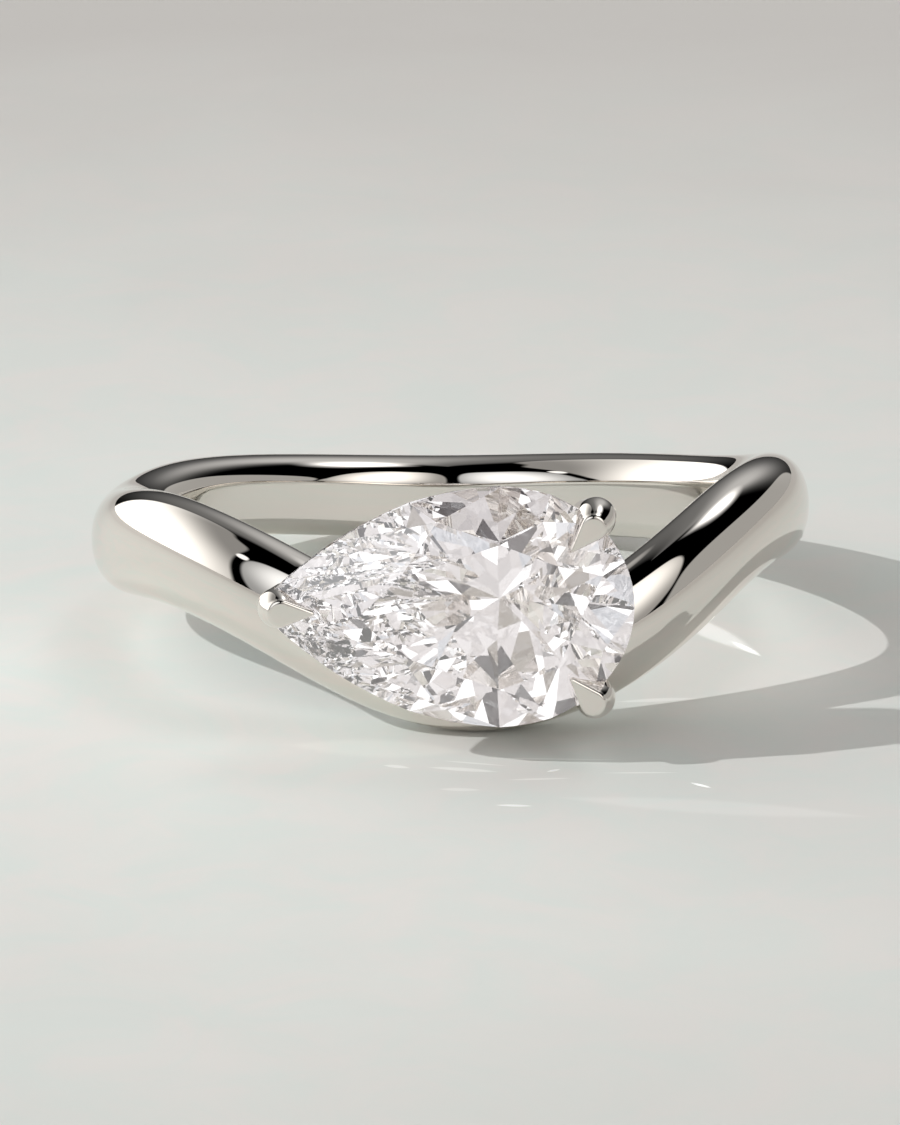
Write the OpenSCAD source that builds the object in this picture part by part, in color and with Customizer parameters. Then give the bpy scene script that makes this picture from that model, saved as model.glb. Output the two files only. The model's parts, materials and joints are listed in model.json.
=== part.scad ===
// A ring with one pear brilliant set east to west on a band that runs round the finger in a wave.
// The ring lies on its side: +Z is the finger's axis, the stone faces -Y and its point is at -X.
// The origin is the centre of the finger hole. Lengths are millimetres, angles are degrees.

/* [Band] */
// Inside diameter of the finger hole, here a US size 6
bore_d = 16.5; // [15:0.1:20]
// Width of the band, along the finger, where it is widest
band_w = 3.1; // [2.6:0.05:3.6]
// Thickness of the band, from the finger to its outer face
band_t = 1.95; // [1.6:0.05:2.3]
// Rise of the wave from its low places to its shoulders
wave_h = 2.4; // [1.8:0.05:2.8]

/* [Stone] */
// Length of the pear, from its point to its round end
stone_l = 10; // [9:0.1:11]
// Width of the pear
stone_w = 6.8; // [6:0.1:7.4]
// Length of the round head, from the widest place to the round end
head_l = 3.65; // [3.2:0.05:4]
// Width of the table, the flat top facet, across the pear
table_w = 4.1; // [3.4:0.05:4.6]
// Height of the crown, from the girdle to the table
crown_h = 0.86; // [0.7:0.01:0.95]
// Thickness of the girdle, the stone's rim
girdle_t = 0.2; // [0.18:0.01:0.3]
// Depth of the pavilion, from the girdle to the point underneath
pavilion_h = 3.3; // [3:0.05:3.4]

/* [Setting] */
// Height of the girdle over the outer face of the band
seat_h = 1.65; // [1.4:0.05:2]
// Height of the pear's middle line over the surface that the ring lies on
stone_z = 4.42; // [4:0.05:4.8]
// Diameter of the prongs' round ends, over the girdle
prong_d = 1.1; // [1:0.05:1.2]
// Diameter of the prongs' wires, under their round ends
wire_d = 0.92; // [0.8:0.02:0.94]
// Distance from the middle of a head prong out to the girdle's edge, which its notch takes in
prong_out = 0.13; // [0.05:0.01:0.2]
// Distance from the pear's point in to the middle of the prong that holds it
point_in = 0.32; // [0.2:0.01:0.4]
// Length of a claw, from the middle of its prong to its tip
claw_l = 1.05; // [0.8:0.05:1.15]
// Thickness of a claw over the crown at its tip
claw_t = 0.14; // [0.12:0.01:0.2]
// Height of the flats on the round end's two claws over the girdle
claw_h = 0.86; // [0.8:0.02:0.94]
// Height of the flat on the point's claw over the girdle
point_claw_h = 0.66; // [0.6:0.02:0.72]
// Width of the flat filed on the top of each claw
flat_d = 0.6; // [0.4:0.05:0.7]
// Distance by which that flat lies further in than the middle of its prong
flat_in = 0.12; // [0:0.02:0.2]
// Thickness of the gallery rail's wall
rail_w = 0.6; // [0.5:0.05:0.7]
// Height of the gallery rail
rail_h = 0.7; // [0.6:0.05:0.8]
// Depth of the gallery rail's middle under the girdle
rail_drop = 1.7; // [1.6:0.05:1.8]
// Clearance round the stone in the prongs' notches and over the rail
seat_gap = 0.04; // [0.02:0.01:0.06]

/* [Hidden] */

// The ring's frame
bore_r = bore_d / 2;
band_r = bore_r + band_t;
rest_z = -(band_w + wave_h) / 2;

// The wave, as 12 even places round the ring, from the stone towards +X, 30 degrees apart.
// A smooth curve is drawn towards them. Lifts are shares of wave_h, widths of band_w.
//   lift of the lower edge, width
WAVE = [
    [-0.24, 1.00], // under the stone
    [ 0.27, 1.01],
    [ 1.42, 1.01], // right shoulder
    [ 0.94, 0.97],
    [ 0.43, 0.85],
    [ 0.17, 0.78],
    [-0.08, 0.79], // back
    [ 0.17, 0.76],
    [ 0.56, 0.76],
    [ 0.42, 0.94],
    [ 1.11, 1.02], // left shoulder
    [ 0.85, 1.00]
];
LIFT = 0;
WIDTH = 1;

// The band's section: its widest place lies seam_share of the thickness out from the finger.
// The exponents square up the corners at the finger and crown the outer face.
seam_share = 0.42;
inner_power = 2.3;
outer_power = 2.15;
bore_overlap = 0.08;
band_steps = 120;
section_steps = 28;

// The stone's facets: 8 mains over and 8 under the girdle, the lower ones half a step further round
mains = 8;
girdle_steps = 8;
star_share = 0.4;
lower_share = 0.28;
// Share of the wing, past the widest place, over which its side would close to nothing
wing_close = 0.96;

// Where the stone sits
half_l = stone_l / 2;
half_w = stone_w / 2;
wing_l = stone_l - head_l;
head_x = half_l - head_l;
girdle_r = band_r + seat_h;
stone_up = rest_z + stone_z;
table_share = table_w / stone_w;

// The prongs: their direction on the head, and how far they lean in for each mm down
head_prong_a = 46.5;
lean = 0.49;
prong_r = prong_d / 2;
claw_tip_r = 0.12;
// Share of a claw's height up to which its sides stay upright
shoulder_share = 0.35;
wire_sides = 14;
wire_steps = 9;
// Directions from the stone at which the prongs run into the band
point_foot_a = -19;
low_foot_a = 18;
high_foot_a = 19;
// Share of the band's thickness, out from the finger, at which they end inside it
foot_share = 0.6;
// Share of the way up from its foot at which a prong's wire turns in to it
bend_share = 0.6;
rail_steps = 48;

// Two directions closer than this are taken as one
tiny = 0.0001;

// The index i, counted round a closed list of n
function wrapped(i, n) = (i % n + n) % n;

// A closed uniform cubic spline through a column of the wave's table
function smooth(column, a) =
    let (n = len(WAVE), x = a / 360 * n, i = floor(x), u = x - i)
    ((1 - u) ^ 3 * WAVE[wrapped(i - 1, n)][column]
        + (3 * u ^ 3 - 6 * u ^ 2 + 4) * WAVE[wrapped(i, n)][column]
        + (-3 * u ^ 3 + 3 * u ^ 2 + 3 * u + 1) * WAVE[wrapped(i + 1, n)][column]
        + u ^ 3 * WAVE[wrapped(i + 2, n)][column]) / 6;

function half_width(a) = band_w / 2 * smooth(WIDTH, a);
function mid_height(a) = rest_z + wave_h * smooth(LIFT, a) + half_width(a);

function power_sign(v, n) = sign(v) * abs(v) ^ (2 / n);

// One point of the band: j steps round its section at angle a from the stone
function band_point(a, j) =
    let (
        b = 360 * j / section_steps,
        outer = sin(b) >= 0,
        n = outer ? outer_power : inner_power,
        depth = outer ? (1 - seam_share) * band_t : seam_share * band_t + bore_overlap,
        across = half_width(a) * power_sign(cos(b), n),
        r = bore_r + seam_share * band_t + depth * power_sign(sin(b), n),
        mid_r = bore_r + band_t / 2,
        slope = (mid_height(a + 1) - mid_height(a - 1)) / (2 * mid_r * PI / 180),
        run = sqrt(1 + slope ^ 2),
        turn = a - across * slope / run / mid_r * 180 / PI
    )
    [r * sin(turn), -r * cos(turn), mid_height(a) + across / run];

// Faces of a tube whose points come in rings of n, closed on itself or with two flat ends
function tube_faces(rings, n, closed) = concat(
    [for (i = [0 : rings - (closed ? 1 : 2)], j = [0 : n - 1])
        let (k = (i + 1) % rings, m = (j + 1) % n)
        [i * n + j, k * n + m, i * n + m]],
    [for (i = [0 : rings - (closed ? 1 : 2)], j = [0 : n - 1])
        let (k = (i + 1) % rings, m = (j + 1) % n)
        [i * n + j, k * n + j, k * n + m]],
    closed ? [] : [
        [for (j = [0 : n - 1]) j],
        [for (j = [n - 1 : -1 : 0]) (rings - 1) * n + j]
    ]
);

function unit(v) = v / norm(v);

// Points round a wire of radius r along a path, with its rings kept square to a side direction
function wire_points(path, side, r, n) = [
    for (i = [0 : len(path) - 1])
        let (
            last = len(path) - 1,
            along = unit(path[min(i + 1, last)] - path[max(i - 1, 0)]),
            u = unit(cross(along, side)),
            v = cross(along, u)
        )
        for (j = [0 : n - 1])
            path[i] + r * (cos(360 * j / n) * u + sin(360 * j / n) * v)
];

module wire(path, side, r, n) {
    polyhedron(
        points = wire_points(path, side, r, n),
        faces = tube_faces(len(path), n, false),
        convexity = 6
    );
}

// A curve of the third degree through its first and last points, drawn to the two between
function bend(p, steps) = [
    for (i = [0 : steps])
        let (t = i / steps)
        (1 - t) ^ 3 * p[0] + 3 * t * (1 - t) ^ 2 * p[1] + 3 * t ^ 2 * (1 - t) * p[2] + t ^ 3 * p[3]
];

// The pear's outline round its widest place, from its round end (0) by its belly (90) to its point (180).
// It is a half ellipse at the head, and two wings that bow in to a small round point.
function pear(a, l_head, l_wing, w) =
    let (c = cos(a), s = sin(a))
    c >= -tiny ? [l_head * c, w * s]
        : abs(s) < tiny ? [-l_wing, 0]
        : [l_wing * c, sign(s) * w * (1 - (wing_close * c) ^ 2)];

// The outline's outward direction, square to it
function pear_out(a, l_head, l_wing, w) =
    abs(sin(a)) < tiny ? [sign(cos(a)), 0]
        : let (d = pear(a + 0.5, l_head, l_wing, w) - pear(a - 0.5, l_head, l_wing, w))
        unit([d.y, -d.x]);

// Where two facets of neighbouring mains meet at one height, from their lines' directions and distances
function meet(n1, d1, n2, d2) =
    let (k = n1.x * n2.y - n1.y * n2.x)
    [(d1 * n2.y - d2 * n1.y) / k, (n1.x * d2 - n2.x * d1) / k];

// The height at p of the plane through three points
function plane_height(p, a, b, c) =
    let (n = cross(b - a, c - a))
    a.z - (n.x * (p.x - a.x) + n.y * (p.y - a.y)) / n.z;

// Whole brilliant, grown by a clearance all round, with its girdle's middle at height 0 and its table up
module brilliant(grow = 0) {
    lh = head_l + grow;
    lw = wing_l + grow;
    w = half_w + grow;
    rim = girdle_t / 2 + grow;
    top = girdle_t / 2 + crown_h + grow;
    bottom = -(girdle_t / 2 + pavilion_h + grow);
    rise = top - rim;
    fall = bottom + rim;
    step = 360 / mains;
    fine = step / girdle_steps;

    outs = [for (i = [0 : mains - 1]) pear_out(i * step, lh, lw, w)];
    ends = [for (i = [0 : mains - 1]) pear(i * step, lh, lw, w)];
    reach = [for (i = [0 : mains - 1]) outs[i] * ends[i]];
    low_outs = [for (i = [0 : mains - 1]) pear_out((i + 0.5) * step, lh, lw, w)];
    low_reach = [for (i = [0 : mains - 1]) low_outs[i] * pear((i + 0.5) * step, lh, lw, w)];

    // Table corners, then the outer corners of the stars, then those between the pavilion's mains
    table = [for (i = [0 : mains - 1]) [table_share * ends[i].x, table_share * ends[i].y, top]];
    stars = [for (i = [0 : mains - 1])
        let (
            k = (i + 1) % mains,
            share = 1 - (1 - star_share) * (1 - table_share),
            m = meet(outs[i], reach[i] * share, outs[k], reach[k] * share)
        )
        [m.x, m.y, rim + rise * (1 - star_share)]];
    lowers = [for (i = [0 : mains - 1])
        let (
            k = wrapped(i - 1, mains),
            m = meet(low_outs[k], low_reach[k] * lower_share, low_outs[i], low_reach[i] * lower_share)
        )
        [m.x, m.y, -rim + fall * (1 - lower_share)]];

    // The girdle's two edges: each step lies in the plane of the girdle facet over or under it
    rim_steps = mains * girdle_steps;
    half = girdle_steps / 2;
    rims = [for (side = [1, -1], s = [0 : rim_steps - 1])
        let (
            i = floor(s / girdle_steps),
            first = s % girdle_steps < half,
            p = pear(s * fine, lh, lw, w),
            a0 = (i + (first ? 0 : 0.5)) * step,
            a1 = (i + (first ? 0.5 : 1)) * step,
            g0 = pear(a0, lh, lw, w),
            g1 = pear(a1, lh, lw, w),
            inner = side > 0 ? stars[i] : lowers[first ? i : (i + 1) % mains],
            on_corner = s % half == 0
        )
        [p.x, p.y, on_corner ? side * rim
            : plane_height(p, inner, [g0.x, g0.y, side * rim], [g1.x, g1.y, side * rim])]];

    points = concat(table, stars, lowers, rims, [[0, 0, bottom]]);
    star_at = mains;
    lower_at = 2 * mains;
    upper_rim = 3 * mains;
    lower_rim = upper_rim + rim_steps;
    culet = lower_rim + rim_steps;

    faces = concat(
        [[for (i = [mains - 1 : -1 : 0]) i]],
        [for (i = [0 : mains - 1])
            let (k = (i + 1) % mains)
            [i, k, star_at + i]],
        [for (i = [0 : mains - 1])
            let (k = (i + mains - 1) % mains)
            [i, star_at + i, upper_rim + i * girdle_steps, star_at + k]],
        [for (i = [0 : mains - 1])
            [star_at + i, for (s = [half : -1 : 0]) upper_rim + i * girdle_steps + s]],
        [for (i = [0 : mains - 1])
            [star_at + i, for (s = [girdle_steps : -1 : half])
                upper_rim + (i * girdle_steps + s) % rim_steps]],
        [for (s = [0 : rim_steps - 1])
            let (t = (s + 1) % rim_steps)
            [upper_rim + s, upper_rim + t, lower_rim + t, lower_rim + s]],
        [for (i = [0 : mains - 1])
            [lower_at + i, for (s = [0 : half]) lower_rim + i * girdle_steps + s]],
        [for (i = [0 : mains - 1])
            let (k = (i + 1) % mains)
            [lower_at + k, for (s = [half : girdle_steps])
                lower_rim + (i * girdle_steps + s) % rim_steps]],
        [for (i = [0 : mains - 1])
            let (k = (i + 1) % mains)
            [culet, lower_at + i, lower_rim + i * girdle_steps + half, lower_at + k]]
    );
    polyhedron(points = points, faces = faces, convexity = 2);
}

// From the stone's own frame, where its table faces up, to its place on the ring
function from_stone(p, height) = [head_x + p.x, -girdle_r - height, stone_up + p.y];

module at_stone() {
    translate([head_x, -girdle_r, stone_up]) rotate([90, 0, 0]) children();
}

module pear_stone() {
    color([0.93, 0.93, 0.95]) at_stone() brilliant();
}

module band() {
    difference() {
        polyhedron(
            points = [for (i = [0 : band_steps - 1], j = [0 : section_steps - 1])
                band_point(360 * i / band_steps, j)],
            faces = tube_faces(band_steps, section_steps, true),
            convexity = 8
        );
        translate([0, 0, rest_z]) cylinder(h = 2 * (band_w + wave_h), r = bore_r, $fn = 120);
    }
}

// A flat-sided rail under the girdle. Its inner edge clears the pavilion, and its point meets the point's prong.
module gallery_rail() {
    top = rail_drop - rail_h / 2;
    share = 1 - (top - girdle_t / 2) / pavilion_h;
    wing = wing_l - point_in - lean * rail_drop;
    at_stone() translate([0, 0, -rail_drop - rail_h / 2]) linear_extrude(rail_h) difference() {
        rail_outline(share, wing, seat_gap + rail_w);
        rail_outline(share, wing - rail_w, seat_gap);
    }
}

module rail_outline(share, wing, out) {
    polygon([for (i = [0 : rail_steps - 1])
        pear(360 * i / rail_steps, share * head_l + out, wing, share * half_w + out)]);
}

// A prong: a wire that leans in from the girdle, then bends into the band's core at angle foot_a
module prong(base, out, foot_a, reach, inset, flat_h) {
    r = bore_r + foot_share * band_t;
    start = from_stone(base, 0);
    leaned = from_stone(base - lean * rail_drop * out, -rail_drop);
    foot = [r * sin(foot_a), -r * cos(foot_a), mid_height(foot_a)];
    over_foot = [foot.x, foot.y, foot.z + bend_share * (leaned.z - foot.z)];
    wire(bend([start, leaned, over_foot, foot], wire_steps), [1, 0, 0], wire_d / 2, wire_sides);
    claw(base, out, reach, inset, flat_h);
}

// A claw: the prong's round end, filed flat on top and drawn out to a small tip that lies on the crown
module claw(base, out, reach, inset, flat_h) {
    tip = base - (claw_l - claw_tip_r) * out;
    crown = girdle_t / 2 + crown_h * (claw_l + inset) / (reach * (1 - table_share));
    at_stone() hull() {
        translate([base.x, base.y, 0]) {
            sphere(r = prong_r, $fn = 24);
            cylinder(h = shoulder_share * flat_h, r = prong_r, $fn = 24);
            translate([-flat_in * out.x, -flat_in * out.y, 0]) cylinder(h = flat_h, r = flat_d / 2, $fn = 24);
        }
        translate([tip.x, tip.y, crown + claw_t - claw_tip_r]) sphere(r = claw_tip_r, $fn = 12);
    }
}

module setting() {
    head_out = pear_out(head_prong_a, head_l, wing_l, half_w);
    head_edge = pear(head_prong_a, head_l, wing_l, half_w);
    difference() {
        union() {
            gallery_rail();
            prong([point_in - wing_l, 0], [-1, 0], point_foot_a, wing_l, point_in, point_claw_h);
            for (up = [1, -1]) {
                out = [head_out.x, up * head_out.y];
                edge = [head_edge.x, up * head_edge.y];
                prong(edge + prong_out * out, out, up > 0 ? high_foot_a : low_foot_a,
                    edge * out, -prong_out, claw_h);
            }
        }
        at_stone() brilliant(seat_gap);
    }
}

module band_and_setting() {
    color([0.80, 0.79, 0.77]) union() {
        band();
        setting();
    }
}

band_and_setting();
pear_stone();
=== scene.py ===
# %% [markdown]
# # A ring with a pear brilliant, set east to west
#
# The ring lies on its side on a pale floor. Its band runs round the finger in a wave, and a pear cut stone
# sits across the front in three claws. This lesson dresses the ring's working model for a picture. The
# working model comes first and stays fixed: it gives the places and sizes that every piece below keeps.

# %% Load the fixed frame
import json
import math

import bmesh
import bpy
import numpy as np
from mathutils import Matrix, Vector


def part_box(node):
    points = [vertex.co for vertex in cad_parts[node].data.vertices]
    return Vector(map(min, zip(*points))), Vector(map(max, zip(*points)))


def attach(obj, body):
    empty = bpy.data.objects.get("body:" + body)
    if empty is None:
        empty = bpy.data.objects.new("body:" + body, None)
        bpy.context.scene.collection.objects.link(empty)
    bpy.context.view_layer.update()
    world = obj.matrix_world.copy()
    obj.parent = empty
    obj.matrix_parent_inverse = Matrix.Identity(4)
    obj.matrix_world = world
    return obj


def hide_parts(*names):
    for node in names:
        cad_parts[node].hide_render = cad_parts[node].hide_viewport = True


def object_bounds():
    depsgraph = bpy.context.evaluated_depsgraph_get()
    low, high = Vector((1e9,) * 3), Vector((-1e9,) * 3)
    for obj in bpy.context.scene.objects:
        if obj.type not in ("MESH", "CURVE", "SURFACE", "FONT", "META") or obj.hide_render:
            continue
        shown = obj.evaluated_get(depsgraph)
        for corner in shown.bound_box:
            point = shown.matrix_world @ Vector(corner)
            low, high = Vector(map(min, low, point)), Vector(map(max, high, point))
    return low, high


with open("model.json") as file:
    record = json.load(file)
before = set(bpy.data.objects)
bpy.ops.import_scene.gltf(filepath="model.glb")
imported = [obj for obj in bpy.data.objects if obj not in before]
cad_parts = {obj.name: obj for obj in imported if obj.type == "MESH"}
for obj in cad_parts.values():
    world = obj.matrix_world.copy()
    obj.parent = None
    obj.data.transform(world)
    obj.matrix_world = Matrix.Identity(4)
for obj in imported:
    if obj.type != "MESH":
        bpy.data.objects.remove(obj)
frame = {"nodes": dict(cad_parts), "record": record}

cad_low, cad_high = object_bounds()
print("nodes:", sorted(frame["nodes"]), "box in mm:", [round(1000 * v, 2) for v in cad_high - cad_low])

# %% [markdown]
# Jewellers measure in millimetres and Blender works in metres, so sizes are written in millimetres times MM.
# The main ones come from the frame: the finger hole's radius from its mount, the band's outer radius from the
# back of the ring, and the stone's length and width from its own box. The others are set here by name. The
# heights of the stone's crown and pavilion, and later the shares of its facets, started from a program's
# search for a cut that looks like the one in a photograph of the ring, and were then changed.

# %% The driving sizes
MM = 0.001
bore_r = frame["record"]["mounts"][0]["dims"]["r_mm"] * MM
_, band_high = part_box("band_and_setting")
band_r = band_high.y
band_t = band_r - bore_r
band_w = 3.1 * MM
wave_h = 2.4 * MM
rest_z = -(band_w + wave_h) / 2

stone_low, stone_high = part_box("pear_stone")
stone_l = stone_high.x - stone_low.x
stone_w = stone_high.z - stone_low.z
head_l = 3.65 * MM
wing_l = stone_l - head_l
half_w = stone_w / 2
table_w = 4.1 * MM
crown_h = 0.86 * MM
girdle_t = 0.2 * MM
pavilion_h = 3.3 * MM
girdle_r = -stone_low.y - crown_h - girdle_t / 2
stone_at = Vector(((stone_low.x + wing_l), -girdle_r, (stone_low.z + stone_high.z) / 2))
print("girdle stands", round(1000 * (girdle_r - band_r), 2), "mm over the band")

# %% [markdown]
# The camera looks down at the ring at a low angle through a long lens, which keeps the near and far sides of
# so small a thing almost the same size. It is aimed a little over the ring, so that the ring sits low in an
# upright picture with quiet space over it. Its distance was chosen, and a least squares fit to edges in the
# photograph gave its rise, lens and aim. The lens and the aim are in pixels of that photograph.

# %% The camera
IMAGE_W = 900
IMAGE_H = 1125
camera_rise = math.radians(17.72)
camera_reach = 246 * MM
lens_pixels = 8613
aim_pixels = 66.75
aim_over = math.atan(aim_pixels / lens_pixels)

camera = bpy.data.objects.new("camera", bpy.data.cameras.new("camera"))
bpy.context.scene.collection.objects.link(camera)
camera.location = (0, -camera_reach * math.cos(camera_rise), rest_z + camera_reach * math.sin(camera_rise))
camera.rotation_euler = (math.pi / 2 - camera_rise + aim_over, 0, 0)
camera.data.lens = lens_pixels / IMAGE_H * camera.data.sensor_width
camera.data.clip_start = 1 * MM
camera.data.clip_end = 20
bpy.context.scene.camera = camera
print("lens", round(camera.data.lens, 1), "mm")

# %% [markdown]
# Every finish below is a small network of shader nodes. Written out link by link, even a simple sum takes
# four lines. So one class wraps a socket: `1 - mask` or `wave * 0.2` then adds the Math node by itself, and
# any other node comes from one method.

# %% A socket that can be added and multiplied
class Value:
    """A socket of a node tree. Sums with it add Math nodes, and node() adds any other node."""

    def __init__(self, tree, socket=None):
        self.tree = tree
        self.socket = socket

    def node(self, kind, settings=None, sockets=None, out=0):
        made = self.tree.nodes.new(kind)
        for name, value in (settings or {}).items():
            if name == "stops":
                self.set_stops(made.color_ramp, value)
            else:
                setattr(made, name, value)
        for name, value in (sockets or {}).items():
            if isinstance(value, Value):
                self.tree.links.new(value.socket, made.inputs[name])
            else:
                made.inputs[name].default_value = value
        return Value(self.tree, made.outputs[out]) if len(made.outputs) else None

    @staticmethod
    def set_stops(ramp, stops):
        """Gives a ramp plain steps of colour."""
        ramp.interpolation = "CONSTANT"
        while len(ramp.elements) < len(stops):
            ramp.elements.new(0.5)
        for element, (place, colour) in zip(ramp.elements, stops):
            element.position = place
            element.color = (*colour, 1)

    def math(self, operation, *values):
        return self.node("ShaderNodeMath", {"operation": operation}, dict(enumerate(values)))

    def __add__(self, other):
        return self.math("ADD", self, other)

    def __sub__(self, other):
        return self.math("SUBTRACT", self, other)

    def __rsub__(self, other):
        return self.math("SUBTRACT", other, self)

    def __mul__(self, other):
        return self.math("MULTIPLY", self, other)

    def __truediv__(self, other):
        return self.math("DIVIDE", self, other)

    def __pow__(self, other):
        if other == 2:
            return self * self
        if other == 0.5:
            return self.math("SQRT", self)
        return self.math("POWER", self, other)

    __radd__ = __add__
    __rmul__ = __mul__

    def step(self, low, high):
        """0 below low and 1 over high, with a soft turn between."""
        return self.node("ShaderNodeMapRange", {"interpolation_type": "SMOOTHSTEP"},
                         {"Value": self, "From Min": low, "From Max": high})


def blank_tree(owner):
    """An empty node tree on a material or world, ready for new nodes."""
    owner.use_nodes = True
    owner.node_tree.nodes.clear()
    return Value(owner.node_tree)


print("Value is ready")

# %% [markdown]
# Polished metal shows little but what stands round it, so the light is the finish. A jewellery photographer
# puts the ring in a dark room with a few white cards and windows. Here each light is a soft-edged patch of
# the sky, given by its direction and size in degrees. Its brightness swells towards one hot place, as on a
# card with a lamp near it. Patches of sky cost less to render than real cards and cast no stray shadows. They
# were drawn over a chart of the sky that a program worked out from reflections in the photograph.
#
# The stone sees a sky of its own. The two are mixed as shaders, so that a light path works out only one.
#
# Azimuth 0 is towards the camera and 90 is to the right.

# %% The lights round the ring
WHITE = (1.00, 1.00, 1.00)
CREAM = (1.00, 0.985, 0.96)
IVORY = (1.00, 0.985, 0.95)
HONEY = (1.00, 0.975, 0.94)
COOL = (0.97, 0.985, 1.00)
#   name, azimuth, height, half width, half height, slope of the top, corner, edge softness, brightness at the
#   edge and at the hot place, hot place across and up in half sizes, its spread across and up, tint
WINDOWS = [
    ("left window", -110, 23, 43.5, 45, 0.0, 4.5, 0.03, 0.32, 2.5, -0.28, -0.45, 1.7, 1.3, CREAM),
    ("left card", -33, 24, 28, 33, 0.15, 3.4, 0.04, 0.42, 1.5, 0.05, 0.25, 1.2, 1.3, COOL),
    ("right card", 31, 26, 29.5, 34, 0.0, 3.2, 0.03, 0.40, 1.7, 0.15, 0.35, 1.1, 1.3, HONEY),
    ("glint", -63.5, 43, 3.6, 4.4, 0.0, 2.5, 0.25, 1.40, 1.4, 0.0, 0.0, 1.0, 1.0, WHITE),
    ("right wall", 108, -3, 46, 25, -0.20, 4.0, 0.02, 0.44, 0.44, 0.0, 0.0, 1.0, 1.0, IVORY),
    ("roof window", 123, 64, 32, 13.5, -0.10, 3.0, 0.32, 0.70, 2.8, 0.0, 0.0, 1.1, 1.1, WHITE),
    ("back glow", 172, 50, 38, 42, 0.0, 2.2, 0.45, 0.20, 0.62, -0.40, -0.1, 1.0, 1.0, WHITE),
]


def patch(direction, azimuth, height, half_wide, half_high, slope, corner, soft):
    """A mask for one patch of the sky, and the place across and up in it."""
    x, y, z = direction
    turn = math.radians(azimuth)
    side = x * math.cos(turn) + y * math.sin(turn)
    ahead = x * math.sin(turn) - y * math.cos(turn)
    across = side.math("ARCTAN2", side, ahead) * math.degrees(1)
    up = z.math("ARCSINE", z) * math.degrees(1)
    u = across / half_wide
    v = (up - height - slope * across) / half_high
    far = (u.math("ABSOLUTE", u) ** corner + v.math("ABSOLUTE", v) ** corner) ** (1 / corner)
    return 1 - far.step(1 - soft, 1 + soft), u, v


def window(direction, spread):
    """The brightness of one light, and its tint."""
    (_, azimuth, height, half_wide, half_high, slope, corner, soft,
     edge, hot, hot_u, hot_v, reach_u, reach_v, tint) = spread
    mask, u, v = patch(direction, azimuth, height, half_wide, half_high, slope, corner, soft)
    if edge == hot:
        return mask * edge, tint
    from_hot = (((u - hot_u) / reach_u) ** 2 + ((v - hot_v) / reach_v) ** 2) ** 0.5
    return mask * (edge + (hot - edge) * (1 - from_hot.step(0.15, 1))), tint


# The stone has a tent of its own: white cards all round, with some dark, warm, cool and bright ones.
#   share of the cards up to which each colour starts, colour
CARD_COLOURS = [
    (0.00, (0.015, 0.01, 0.015)),
    (0.03, (0.08, 0.07, 0.075)),
    (0.17, (0.42, 0.38, 0.34)),
    (0.25, (0.79, 0.75, 0.74)),
    (0.72, (0.72, 0.735, 0.77)),
    (0.79, (1.45, 1.44, 1.43)),
]
card_scale = 4.8
card_shift = (0.5, 3.1, 1.9)
lens_width = 8


def tent(generated, direction):
    """The colour of the stone's tent, with the camera's dark lens in it."""
    moved = generated.node("ShaderNodeVectorMath", {"operation": "ADD"}, {0: generated, 1: card_shift})
    cards = moved.node("ShaderNodeTexVoronoi", {}, {"Vector": moved, "Scale": card_scale}, out="Color")
    picked = cards.node("ShaderNodeSeparateColor", {}, {"Color": cards}, out="Red")
    colour = picked.node("ShaderNodeValToRGB", {"stops": CARD_COLOURS}, {"Fac": picked})
    lens, _, _ = patch(direction, 0, math.degrees(camera_rise), lens_width, lens_width, 0, 2, 0.06)
    return colour.node("ShaderNodeMix", {"data_type": "RGBA"}, {
        "Factor": lens, 6: colour, 7: (*CARD_COLOURS[1][1], 1)}, out=2)


def studio_sky(windows):
    """A black world lit by soft windows, and the tent for all that is seen through the stone."""
    world = bpy.data.worlds.new("studio")
    sky = blank_tree(world)
    generated = sky.node("ShaderNodeTexCoord", out="Generated")
    split = sky.tree.nodes.new("ShaderNodeSeparateXYZ")
    sky.tree.links.new(generated.socket, split.inputs[0])
    direction = [Value(sky.tree, split.outputs[k]) for k in range(3)]
    total = None
    for spread in windows:
        bright, tint = window(direction, spread)
        light = sky.node("ShaderNodeVectorMath", {"operation": "SCALE"}, {0: tint, "Scale": bright})
        total = light if total is None else sky.node(
            "ShaderNodeVectorMath", {"operation": "ADD"}, {0: total, 1: light})
    room = sky.node("ShaderNodeBackground", sockets={"Color": total, "Strength": 1})
    cards = sky.node("ShaderNodeBackground", sockets={"Color": tent(generated, direction), "Strength": 1})
    through_stone = sky.node("ShaderNodeLightPath", out="Transmission Depth")
    seen = sky.node("ShaderNodeMixShader", sockets={"Fac": through_stone, 1: room, 2: cards})
    sky.node("ShaderNodeOutputWorld", sockets={"Surface": seen})
    bpy.context.scene.world = world


studio_sky(WINDOWS)
print(len(WINDOWS), "windows")

# %% [markdown]
# A single far lamp from the left draws the ring's crisp shadow on the floor. A sun lamp keeps the shadow's
# shape the same at any distance, and a small angle softens its edge only a little. A program found the
# lamp's height by laying the ring's shadow over the one in the photograph. Its azimuth started there too,
# and was then turned.

# %% The key light
key_azimuth = math.radians(-75.5)
key_height = math.radians(34.1)
key_strength = 1.70
key_angle = math.radians(0.8)
key = bpy.data.objects.new("key", bpy.data.lights.new("key", "SUN"))
bpy.context.scene.collection.objects.link(key)
key.data.energy = key_strength
key.data.angle = key_angle
key.visible_glossy = False
towards_key = Vector((math.sin(key_azimuth) * math.cos(key_height),
                      -math.cos(key_azimuth) * math.cos(key_height), math.sin(key_height)))
key.rotation_euler = towards_key.to_track_quat("Z", "Y").to_euler()
print("key light from", [round(v, 2) for v in towards_key])
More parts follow.
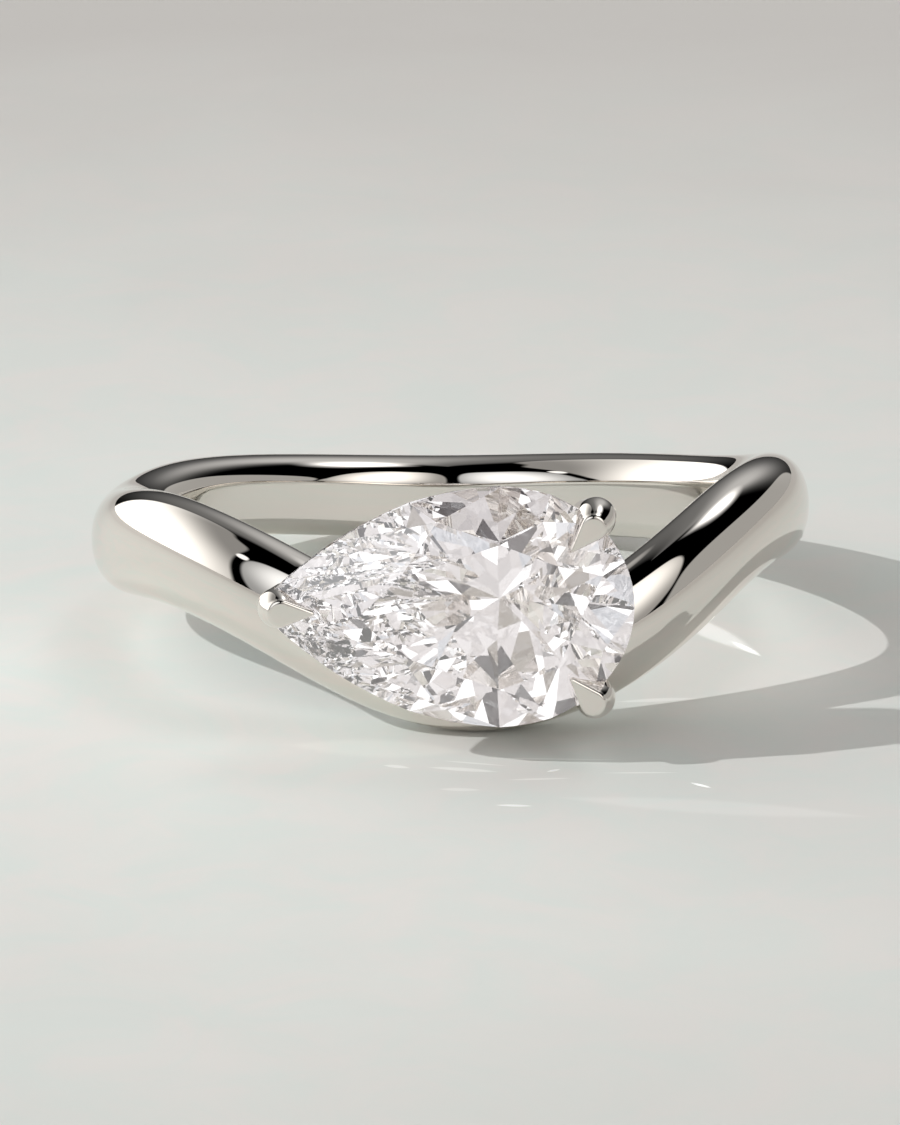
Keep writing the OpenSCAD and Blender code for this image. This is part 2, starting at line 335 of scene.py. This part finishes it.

# %% [markdown]
# The floor is pale honed stone with faint clouds. A pool of light round the ring is painted into its colour,
# and painted shade darkens it away from the pool. The colour is worked out from the place on the floor, so it
# needs no picture.
#
# A polished ring and a cut stone also throw small streaks of light on what they lie on. Tracing those takes
# thousands of light paths for each point, so here each streak is a soft lens shape that glows a little. Some
# are given as places on the floor. The others keep the pixels at which they were seen in the photograph, and
# the camera turns those into places on the floor. The streaks are too faint to light the ring, so the render
# is told not to aim light paths at them, which saves time.

# %% The floor
FLOOR_COOL = (0.86, 0.925, 0.885, 1)
FLOOR_WARM = (0.935, 0.92, 0.885, 1)
# the colour that painted shade darkens the floor to, away from the painted pool of light
FLOOR_FAR_SHADE = (0.63, 0.61, 0.585, 1)
floor_half = 3.0
lit_pool_at = Vector((-12 * MM, -3 * MM, 0))
lit_pool_reach = 77 * MM
lit_pool_clouds = 0.28
WARM = (1.0, 0.94, 0.80)
#   name, x and y on the floor, half length, half width, all in mm, turn in degrees, glow, tint
SET_GLINTS = [
    ("band's streak", 7.3, 0.0, 2.90, 0.52, -59, 0.22, WHITE),
    ("streak's tip", 8.4, -1.8, 0.85, 0.14, -60, 0.35, WHITE),
    ("warm light", -2.0, -10.7, 2.60, 0.90, -7, 0.045, WARM),
]
#   name, the pixels across and down at its left end, at its right end, its thickness in pixels, glow
SEEN_GLINTS = [
    ("gap's light", (614, 702), (699, 698), 4, 0.12),
    ("stone's glint", (690, 782.5), (712, 788), 2, 0.60),
    ("stone's glint", (601, 773), (681, 772.5), 1.2, 0.16),
    ("stone's glint", (546, 772), (561, 769), 2, 0.24),
    ("stone's glint", (504, 780), (574, 778), 2, 0.12),
    ("stone's glint", (494, 805), (534, 806), 2, 0.30),
    ("stone's glint", (437, 789), (483, 790), 3.5, 0.09),
    ("stone's glint", (426, 767), (501, 772), 4, 0.13),
    ("stone's glint", (440, 760.5), (509, 766), 1.6, 0.12),
    ("stone's glint", (382, 765), (411, 768), 3.5, 0.14),
    ("shadow's rim", (484, 758), (628, 760), 1.4, 0.10),
    ("broad light", (551, 797), (874, 817), 16, 0.045),
]


def on_floor(across, down):
    """The place on the floor that shows at a pixel of the photograph, in mm."""
    way = Vector((across - IMAGE_W / 2, IMAGE_H / 2 - down, -lens_pixels))
    way.rotate(camera.rotation_euler)
    return (camera.location + way * (cad_low.z - camera.location.z) / way.z) / MM


def seen_glint(name, left, right, thick, glow):
    """A row like those of SET_GLINTS, worked out from pixels."""
    along = on_floor(*right) - on_floor(*left)
    turn = math.atan2(along.y, along.x)
    across, down = (left[0] + right[0]) / 2, (left[1] + right[1]) / 2
    middle = on_floor(across, down)
    wide = (on_floor(across, down - thick / 2) - on_floor(across, down + thick / 2)).length * math.cos(turn)
    return (name, middle.x, middle.y, along.length / 2, wide / 2, math.degrees(turn), glow, WHITE)


GLINTS = SET_GLINTS + [seen_glint(*row) for row in SEEN_GLINTS]
for name, x, y, *_ in GLINTS:
    print(name, "at", round(x, 2), round(y, 2), "mm")


def glint(x, y, spot):
    """The brightness of one lens-shaped streak at a place on the floor."""
    _, at_x, at_y, half_long, half_wide, turn, glow, _ = spot
    c, s = math.cos(math.radians(turn)), math.sin(math.radians(turn))
    u = (x * c + y * s - (at_x * c + at_y * s) * MM) / (half_long * MM)
    v = (y * c - x * s - (at_y * c - at_x * s) * MM) / (half_wide * MM)
    return (1 - (v.math("ABSOLUTE", v) + u ** 2).step(0.55, 1.1)) * glow


def streaks(x, y, tint):
    """The light of all the streaks of one tint."""
    bright = sum(glint(x, y, spot) for spot in GLINTS if spot[-1] == tint)
    return x.node("ShaderNodeVectorMath", {"operation": "SCALE"}, {0: tint, "Scale": bright})


def floor_finish():
    material = bpy.data.materials.new("honed_stone")
    start = blank_tree(material)
    place = start.node("ShaderNodeTexCoord", out="Object")
    from_lit_pool = start.node("ShaderNodeVectorMath", {"operation": "DISTANCE"},
                           {0: place, 1: tuple(lit_pool_at)}, out="Value")
    clouds = start.node("ShaderNodeTexNoise", {}, {"Vector": place, "Scale": 55, "Detail": 4,
                                                   "Roughness": 0.55, "Distortion": 0.6}, out=0)
    marble = start.node("ShaderNodeTexNoise", {}, {"Vector": place, "Scale": 240, "Detail": 6,
                                                   "Roughness": 0.6, "Distortion": 1.0}, out=0)
    near = start.node("ShaderNodeMix", {"data_type": "RGBA"}, {
        "Factor": marble.step(0.3, 0.7), 6: FLOOR_COOL, 7: FLOOR_WARM}, out=2)
    # painted pool of light round the ring, fading to painted shade farther off, with a cloudy edge
    far = from_lit_pool / lit_pool_reach + (clouds - 0.5) * lit_pool_clouds
    colour = start.node("ShaderNodeMix", {"data_type": "RGBA", "clamp_factor": True},
                        {"Factor": far, 6: near, 7: FLOOR_FAR_SHADE}, out=2)
    split = start.tree.nodes.new("ShaderNodeSeparateXYZ")
    start.tree.links.new(place.socket, split.inputs[0])
    x, y = Value(start.tree, split.outputs[0]), Value(start.tree, split.outputs[1])
    light = start.node("ShaderNodeVectorMath", {"operation": "ADD"},
                       {0: streaks(x, y, WHITE), 1: streaks(x, y, WARM)})
    shader = start.node("ShaderNodeBsdfPrincipled", {}, {
        "Base Color": colour, "Roughness": 0.55, "Specular IOR Level": 0.25,
        "Emission Color": light, "Emission Strength": 1.0})
    start.node("ShaderNodeOutputMaterial", sockets={"Surface": shader})
    material.cycles.emission_sampling = "NONE"
    return material


def made_mesh(name, points, faces, material, smooth=True):
    """A mesh object from points and faces, in the ring's own frame."""
    mesh = bpy.data.meshes.new(name)
    mesh.from_pydata([tuple(p) for p in points], [], [tuple(f) for f in faces])
    mesh.update()
    mesh.polygons.foreach_set("use_smooth", [smooth] * len(mesh.polygons))
    mesh.materials.append(material)
    made = bpy.data.objects.new(name, mesh)
    bpy.context.scene.collection.objects.link(made)
    return made


floor = made_mesh("floor", [(-floor_half, -floor_half, 0), (floor_half, -floor_half, 0),
                            (floor_half, floor_half, 0), (-floor_half, floor_half, 0)],
                  [(0, 1, 2, 3)], floor_finish(), smooth=False)
floor.location = (0, 0, cad_low.z)
floor.visible_transmission = False
print("floor at", round(1000 * cad_low.z, 3), "mm")

# %% [markdown]
# White gold is warm beside steel. Even a mirror polish isn't perfect: the last cloth leaves a faint orange
# peel and hairlines that catch the light edge on. Both stay very small here, in the roughness and a slight
# bump, so that the reflections keep their crisp edges.

# %% Polished white gold
def white_gold():
    material = bpy.data.materials.new("white_gold")
    start = blank_tree(material)
    place = start.node("ShaderNodeTexCoord", out="Object")
    peel = start.node("ShaderNodeTexNoise", {}, {"Vector": place, "Scale": 900, "Detail": 2}, out=0)
    hairs = start.node("ShaderNodeTexNoise", {}, {"Vector": place, "Scale": 5200, "Detail": 3,
                                                  "Distortion": 1.5}, out=0)
    wear = start.node("ShaderNodeTexNoise", {}, {"Vector": place, "Scale": 260, "Detail": 3}, out=0)
    tone = start.node("ShaderNodeMix", {"data_type": "RGBA"},
                      {"Factor": wear, 6: (0.80, 0.765, 0.72, 1), 7: (0.775, 0.738, 0.69, 1)}, out=2)
    bump = start.node("ShaderNodeBump", {}, {"Height": peel, "Strength": 0.010, "Distance": 0.02 * MM})
    shader = start.node("ShaderNodeBsdfPrincipled", {}, {
        "Base Color": tone, "Metallic": 1.0, "Roughness": 0.012 + hairs.step(0.55, 0.8) * 0.02,
        "Normal": bump})
    start.node("ShaderNodeOutputMaterial", sockets={"Surface": shader})
    return material


metal = white_gold()
print("made", metal.name)

# %% [markdown]
# The band is one sweep: a rounded section carried round the finger, rising and falling in a wave and
# changing width as it goes. A short table gives the wave as shares of the sizes, and a smooth closed curve
# follows it, so no kink shows in the reflections. Modelling it by hand with a subdivision surface would leave
# ripples that a mirror polish shows at once.
#
# The table's numbers weren't chosen by hand, though a reader should expect that of a table like this. The
# least squares fit that gave the camera gave them too, and they were then divided by the sizes and rounded.

# %% The wave of the band
#   lift of the lower edge, width: 12 even places from the stone towards +X
WAVE = np.array([
    (-0.24, 1.00),
    (0.27, 1.01),
    (1.42, 1.01),
    (0.94, 0.97),
    (0.43, 0.85),
    (0.17, 0.78),
    (-0.08, 0.79),
    (0.17, 0.76),
    (0.56, 0.76),
    (0.42, 0.94),
    (1.11, 1.02),
    (0.85, 1.00),
])
LIFT, WIDTH = 0, 1
seam_share = 0.42
inner_power = 2.3
outer_power = 2.15
fine_steps = 6000
bore_overlap = 0.08 * MM
edge_round = 0.03 * MM


def smooth(column, angle):
    """A closed cubic spline through one column of the wave, at an angle in degrees."""
    x = np.asarray(angle) / 360 * len(WAVE)
    i = np.floor(x).astype(int)
    u = x - i
    weights = ((1 - u) ** 3, 3 * u ** 3 - 6 * u ** 2 + 4, -3 * u ** 3 + 3 * u ** 2 + 3 * u + 1, u ** 3)
    return sum(w * WAVE[(i + k - 1) % len(WAVE), column] for k, w in enumerate(weights)) / 6


def half_width(angle):
    return band_w / 2 * smooth(WIDTH, angle)


def mid_height(angle):
    return rest_z + wave_h * smooth(LIFT, angle) + half_width(angle)


def section(b, half):
    """Places across and out from the finger hole's wall, round the section at angles b in radians."""
    outer = np.sin(b) >= 0
    power = np.where(outer, outer_power, inner_power)
    depth = np.where(outer, (1 - seam_share) * band_t, seam_share * band_t + bore_overlap)
    across = half * np.sign(np.cos(b)) * np.abs(np.cos(b)) ** (2 / power)
    out = seam_share * band_t + depth * np.sign(np.sin(b)) * np.abs(np.sin(b)) ** (2 / power)
    blend = np.clip(0.5 + 0.5 * out / edge_round, 0, 1)
    out = out * blend + edge_round * blend * (1 - blend)
    return across, out


def even_turns(count):
    """Section angles that lie evenly along the section's outline."""
    fine = np.linspace(0, 2 * np.pi, fine_steps + 1)
    across, out = section(fine, band_w / 2)
    run = np.concatenate([[0], np.cumsum(np.hypot(np.diff(across), np.diff(out)))])
    return np.interp(np.arange(count) / count * run[-1], run, fine)


def band_points(rings, steps):
    """The band's points, ring after ring. Each section is turned to lie square to the wave's slope."""
    angle = np.repeat(np.arange(rings) * 360 / rings, steps)
    across, out = section(np.tile(even_turns(steps), rings), half_width(angle))
    mid_r = bore_r + band_t / 2
    slope = (mid_height(angle + 1) - mid_height(angle - 1)) / (2 * mid_r * math.radians(1))
    run = np.sqrt(1 + slope ** 2)
    turn = np.radians(angle) - across * slope / run / mid_r
    r = bore_r + out
    return np.stack([r * np.sin(turn), -r * np.cos(turn), mid_height(angle) + across / run], -1)


def grid_faces(rings, steps, closed):
    """Four-sided faces between rings of points, round and, where closed, back to the first ring."""
    faces = []
    for i in range(rings if closed else rings - 1):
        for j in range(steps):
            k, m = (i + 1) % rings, (j + 1) % steps
            faces.append((i * steps + j, k * steps + j, k * steps + m, i * steps + m))
    return faces


band_rings, band_steps = 540, 84
band = made_mesh("band", band_points(band_rings, band_steps), grid_faces(band_rings, band_steps, True), metal)
print("band has", len(band.data.polygons), "faces")

# %% [markdown]
# The pear's outline is a half ellipse at the round head, and two long wings that bow in to a small point.
# The same formula draws the gallery rail under the stone, the clearance round it and the claws' places.

# %% The pear's outline
wing_close = 0.96


def pear(angle, head, wing, wide):
    """A point of the outline: angle 0 is the round end, 90 the belly and 180 the point."""
    c, s = math.cos(math.radians(angle)), math.sin(math.radians(angle))
    if c >= -1e-4:
        return Vector((head * c, wide * s))
    if abs(s) < 1e-4:
        return Vector((-wing, 0))
    return Vector((wing * c, math.copysign(wide * (1 - (wing_close * c) ** 2), s)))


def pear_out(angle, head, wing, wide):
    """The outline's outward direction."""
    if abs(math.sin(math.radians(angle))) < 1e-4:
        return Vector((math.copysign(1, math.cos(math.radians(angle))), 0))
    along = pear(angle + 0.5, head, wing, wide) - pear(angle - 0.5, head, wing, wide)
    return Vector((along.y, -along.x)).normalized()


def from_stone(x, y, height):
    """From the stone's own frame, with its table up, to the ring's."""
    return Vector((stone_at.x + x, stone_at.y - height, stone_at.z + y))


print("pear from", round(1000 * stone_low.x, 2), "to", round(1000 * stone_high.x, 2), "mm")

# %% [markdown]
# The setting carries the stone. A pear-shaped gallery rail runs under the girdle, soldered to the band. Each
# prong is a round wire that bends out of the band, passes the rail and ends in a claw over the stone's edge.

# %% The gallery rail
seat_gap = 0.04 * MM
rail_w = 0.6 * MM
rail_h = 0.7 * MM
rail_drop = 1.7 * MM
lean = 0.49
point_in = 0.32 * MM
rail_round = 0.08 * MM


def rail_outline(share, wing, out, steps):
    return [pear(360 * i / steps, share * head_l + out, wing, share * half_w + out) for i in range(steps)]


def gallery_rail(steps=144):
    """A band of pear outlines: down the outside, in under, up the inside, with softly rounded edges."""
    share = 1 - (rail_drop - rail_h / 2 - girdle_t / 2) / pavilion_h
    wing = wing_l - point_in - lean * rail_drop
    outer, inner = (wing, seat_gap + rail_w), (wing - rail_w, seat_gap)
    top, low = -rail_drop + rail_h / 2, -rail_drop - rail_h / 2
    points = []
    for (side, other), (start, end) in (((outer, inner), (top, low)), ((inner, outer), (low, top))):
        way = 1 if end > start else -1
        inset = -1 if side is outer else 1
        for turn in (0, 30, 60, 90):
            soft = rail_round * (1 - math.sin(math.radians(turn)))
            drop = rail_round * (1 - math.cos(math.radians(turn)))
            ring = rail_outline(share, side[0] + inset * soft, side[1] + inset * soft, steps)
            points += [from_stone(p.x, p.y, start + way * drop) for p in ring]
        for turn in (90, 60, 30, 0):
            soft = rail_round * (1 - math.sin(math.radians(turn)))
            drop = rail_round * (1 - math.cos(math.radians(turn)))
            ring = rail_outline(share, side[0] + inset * soft, side[1] + inset * soft, steps)
            points += [from_stone(p.x, p.y, end - way * drop) for p in ring]
    return made_mesh("gallery_rail", points, grid_faces(16, steps, True), metal)


rail = gallery_rail()
print("rail has", len(rail.data.polygons), "faces")

# %% [markdown]
# The stone is cut to a plan: a table, stars, kites and girdle facets over the girdle, and two tiers under
# it, turned by half a step against the kites. All facets are flat, so each is worked out as a plane, and the
# girdle's edge is scalloped where the planes cross it. The same cut, a little larger, is taken out of the
# claws as their seat.

# %% The brilliant's cut
mains = 8
girdle_steps = 8
star_share = 0.4
lower_share = 0.28
table_share = table_w / stone_w


def meet(n1, d1, n2, d2):
    """Where two lines cross, each given by its direction and distance."""
    k = n1.x * n2.y - n1.y * n2.x
    return Vector(((d1 * n2.y - d2 * n1.y) / k, (n1.x * d2 - n2.x * d1) / k))


def plane_height(p, a, b, c):
    """The height at p of the plane through three points."""
    n = (b - a).cross(c - a)
    return a.z - (n.x * (p.x - a.x) + n.y * (p.y - a.y)) / n.z


def brilliant(grow=0.0):
    """Points and faces of the cut stone, grown all round by a clearance."""
    size = (head_l + grow, wing_l + grow, half_w + grow)
    rim = girdle_t / 2 + grow
    top = girdle_t / 2 + crown_h + grow
    bottom = -(girdle_t / 2 + pavilion_h + grow)
    step = 360 / mains

    def tier(share, height, shift):
        outs = [pear_out((i + shift) * step, *size) for i in range(mains)]
        reach = [share * out.dot(pear((i + shift) * step, *size)) for i, out in enumerate(outs)]
        found = [meet(outs[i], reach[i], outs[(i + 1) % mains], reach[(i + 1) % mains]) for i in range(mains)]
        return [Vector((m.x, m.y, height)) for m in found]

    table = [Vector((table_share * e.x, table_share * e.y, top))
             for e in (pear(i * step, *size) for i in range(mains))]
    stars = tier(1 - (1 - star_share) * (1 - table_share), rim + (top - rim) * (1 - star_share), 0)
    lowers = tier(lower_share, -rim + (bottom + rim) * (1 - lower_share), -0.5)
    count = mains * girdle_steps
    half = girdle_steps // 2
    rims = []
    for side in (1, -1):
        for s in range(count):
            i = s // girdle_steps
            first = s % girdle_steps < half
            inner = stars[i] if side > 0 else lowers[i if first else (i + 1) % mains]
            p = pear(s * step / girdle_steps, *size)
            g0 = pear((i + (0 if first else 0.5)) * step, *size).to_3d() + Vector((0, 0, side * rim))
            g1 = pear((i + (0.5 if first else 1)) * step, *size).to_3d() + Vector((0, 0, side * rim))
            z = side * rim if s % half == 0 else plane_height(p, inner, g0, g1)
            rims.append(Vector((p.x, p.y, z)))
    points = table + stars + lowers + rims + [Vector((0, 0, bottom))]
    star_at, lower_at, upper_rim = mains, 2 * mains, 3 * mains
    lower_rim = upper_rim + count
    culet = lower_rim + count
    faces = [tuple(range(mains))]
    for i in range(mains):
        k, before = (i + 1) % mains, (i - 1) % mains
        corner = i * girdle_steps
        first = list(range(corner, corner + half + 1))
        second = [s % count for s in range(corner + half, corner + girdle_steps + 1)]
        faces.append((i, star_at + i, k))
        faces.append((i, star_at + before, upper_rim + corner, star_at + i))
        faces.append((star_at + i, *[upper_rim + s for s in first]))
        faces.append((star_at + i, *[upper_rim + s for s in second]))
        faces.append((lower_at + i, *[lower_rim + s for s in reversed(first)]))
        faces.append((lower_at + k, *[lower_rim + s for s in reversed(second)]))
        faces.append((culet, lower_at + k, lower_rim + corner + half, lower_at + i))
    for s in range(count):
        t = (s + 1) % count
        faces.append((upper_rim + s, lower_rim + s, lower_rim + t, upper_rim + t))
    return [from_stone(p.x, p.y, p.z) for p in points], faces


cutter_points, cutter_faces = brilliant(seat_gap)
print("the cut has", len(cutter_faces), "facets")

# %% [markdown]
# A claw starts as the wire's round end. The setter files it flat on top and draws it to a point over the
# stone, which leaves crisp edges beside a dome. So each claw is a stack of teardrop outlines: a circle that
# narrows as the dome rises, joined to a small tip. The edge round its flat top is barely rounded.

# %% Prongs and claws
prong_d = 1.1 * MM
wire_d = 0.92 * MM
claw_l = 1.03 * MM
claw_tip_r = 0.07 * MM
claw_edge = 0.10 * MM
flat_d = 0.6 * MM
flat_in = 0.12 * MM
flat_share = 1.3
collar_h = 0.5 * MM
collar_steps = 8
dome_steps = 14
edge_steps = 6
least_r = 0.004 * MM
foot_share = 0.6
bend_share = 0.6
head_prong_a = 46.5
prong_out = 0.13 * MM
point_claw_h = 0.66 * MM
head_claw_h = 0.86 * MM
point_droop = 0.02 * MM
head_droop = 0.06 * MM
point_foot_a = -19
low_foot_a = 18
high_foot_a = 19
wire_steps = 40
wire_sides = 48
crease = math.radians(35)


def teardrop(radius, length, tip_r, steps):
    """A circle at the origin drawn out to a small tip along x, as points that run the same way round."""
    far = length - tip_r
    open_a = math.acos(max(-1, min(1, (radius - tip_r) / far)))
    points = []
    half = steps // 2
    for i in range(half):
        a = open_a + (2 * math.pi - 2 * open_a) * i / (half - 1)
        points.append(Vector((radius * math.cos(a), radius * math.sin(a))))
    for i in range(half):
        a = -open_a + 2 * open_a * i / (half - 1)
        points.append(Vector((far + tip_r * math.cos(a), tip_r * math.sin(a))))
    return points


def claw(base, out, height, drop, steps=96):
    """A claw over the girdle. base and out are its place and outward direction in the stone's plan."""
    inward = -out
    side = Vector((-inward.y, inward.x))
    rim_h = height - claw_edge
    dome_h = height / math.sqrt(1 - (flat_d / prong_d) ** 2)
    levels = [(-collar_h * (1 - i / collar_steps), prong_d / 2, 0.0) for i in range(collar_steps)]
    for i in range(dome_steps + 1):
        h = rim_h * i / dome_steps
        levels.append((h, prong_d / 2 * math.sqrt(1 - (h / dome_h) ** 2), 0.0))
    last = levels[-1][1]
    for i in range(1, edge_steps + 1):
        a = math.radians(90 * i / edge_steps)
        levels.append((rim_h + claw_edge * math.sin(a), last, claw_edge * (1 - math.cos(a))))
    levels.append((height, last, claw_edge * flat_share))
    points = []
    for h, radius, inset in levels:
        above = max(h, 0) / height
        shift = flat_in * above ** 2
        for p in teardrop(radius - inset, claw_l - shift - inset, max(claw_tip_r - inset, least_r), steps):
            x = p.x + shift
            lift = h - drop * above * max(x, 0) / claw_l
            flat = base + inward * (x - lean * min(h, 0)) + side * p.y
            points.append(from_stone(flat.x, flat.y, lift))
    faces = grid_faces(len(levels), steps, False)
    faces.append(tuple(reversed(range(steps))))
    faces.append(tuple(range((len(levels) - 1) * steps, len(levels) * steps)))
    return points, faces


def wire(path, side, radius, steps):
    """A round wire along a path, with its rings kept square to a side direction."""
    points = []
    last = len(path) - 1
    for i, p in enumerate(path):
        along = (path[min(i + 1, last)] - path[max(i - 1, 0)]).normalized()
        u = along.cross(side).normalized()
        v = along.cross(u)
        for j in range(steps):
            a = 2 * math.pi * j / steps
            points.append(p + radius * (math.cos(a) * u + math.sin(a) * v))
    faces = grid_faces(len(path), steps, False)
    faces.append(tuple(reversed(range(steps))))
    faces.append(tuple(range(last * steps, (last + 1) * steps)))
    return points, faces


def bend(p, steps):
    """A curve of the third degree through its first and last points, drawn to the two between."""
    ways = [i / steps for i in range(steps + 1)]
    return [(1 - t) ** 3 * p[0] + 3 * t * (1 - t) ** 2 * p[1] + 3 * t ** 2 * (1 - t) * p[2] + t ** 3 * p[3]
            for t in ways]


def outward(made):
    """Turns a mesh's faces to point outwards."""
    work = bmesh.new()
    work.from_mesh(made.data)
    bmesh.ops.recalc_face_normals(work, faces=work.faces)
    work.to_mesh(made.data)
    work.free()
    return made


def cut(made, other, operation):
    """Joins or cuts one solid with another, and removes the other."""
    change = made.modifiers.new("cut", "BOOLEAN")
    change.operation = operation
    change.solver = "EXACT"
    change.object = other
    shape = bpy.data.meshes.new_from_object(made.evaluated_get(bpy.context.evaluated_depsgraph_get()))
    made.modifiers.clear()
    made.data = shape
    bpy.data.objects.remove(other)


def prong(name, base, out, foot_angle, height, drop):
    """One prong: its wire and claw made one, with the stone's seat cut out."""
    r = bore_r + foot_share * band_t
    start = from_stone(base.x, base.y, 0)
    leaned_at = base - lean * rail_drop * out
    leaned = from_stone(leaned_at.x, leaned_at.y, -rail_drop)
    turn = math.radians(foot_angle)
    foot = Vector((r * math.sin(turn), -r * math.cos(turn), float(mid_height(foot_angle))))
    over_foot = Vector((foot.x, foot.y, foot.z + bend_share * (leaned.z - foot.z)))
    path = bend([start, leaned, over_foot, foot], wire_steps)
    made = outward(made_mesh(name, *wire(path, Vector((1, 0, 0)), wire_d / 2, wire_sides), metal))
    cut(made, outward(made_mesh(name + "_claw", *claw(base, out, height, drop), metal)), "UNION")
    cut(made, outward(made_mesh(name + "_seat", cutter_points, cutter_faces, metal)), "DIFFERENCE")
    made.data.polygons.foreach_set("use_smooth", [True] * len(made.data.polygons))
    made.data.set_sharp_from_angle(angle=crease)
    return made


head_edge = pear(head_prong_a, head_l, wing_l, half_w)
head_out = pear_out(head_prong_a, head_l, wing_l, half_w)
prongs = [prong("prong_point", Vector((point_in - wing_l, 0)), Vector((-1, 0)), point_foot_a,
                point_claw_h, point_droop)]
for place, up, foot_angle in (("upper", 1, high_foot_a), ("lower", -1, low_foot_a)):
    edge = Vector((head_edge.x, up * head_edge.y))
    out = Vector((head_out.x, up * head_out.y))
    prongs.append(prong("prong_" + place, edge + prong_out * out, out, foot_angle,
                        head_claw_h, head_droop))
print([(p.name, len(p.data.polygons)) for p in prongs])

# %% [markdown]
# Diamond bends light far more than glass, and its facets work as mirrors from inside, so its sparkle comes
# from the cut and the lights, with no paint. It takes many inner reflections for a path to leave the stone,
# so the scene allows more bounces than usual. The longest paths are still cut short and would end black, so
# the stone glows very faintly at each bounce to stand for them.

# %% The diamond
inner_glow = 0.006


def diamond():
    material = bpy.data.materials.new("diamond")
    start = blank_tree(material)
    shader = start.node("ShaderNodeBsdfPrincipled", {}, {
        "Base Color": (0.985, 0.975, 0.985, 1), "Metallic": 0.0, "Roughness": 0.0, "IOR": 2.42,
        "Transmission Weight": 1.0, "Emission Color": (1.0, 0.97, 0.97, 1), "Emission Strength": inner_glow})
    start.node("ShaderNodeOutputMaterial", sockets={"Surface": shader})
    return material


stone = frame["nodes"]["pear_stone"]
stone.data.materials.clear()
stone.data.materials.append(diamond())
bounces = bpy.context.scene.cycles
bounces.max_bounces = 64
bounces.transmission_bounces = 64
bounces.glossy_bounces = 20
print("stone wears", stone.data.materials[0].name)

# %% [markdown]
# The band, the rail and the prongs together stand for the one soldered piece of the working model, and all
# of them ride on the ring's only body. The picture's tones are kept as the lights make them.

# %% Tie the pieces to the frame
for piece in [band, rail, *prongs]:
    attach(piece, "root")
    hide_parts("band_and_setting")
bpy.context.scene.view_settings.view_transform = "Standard"
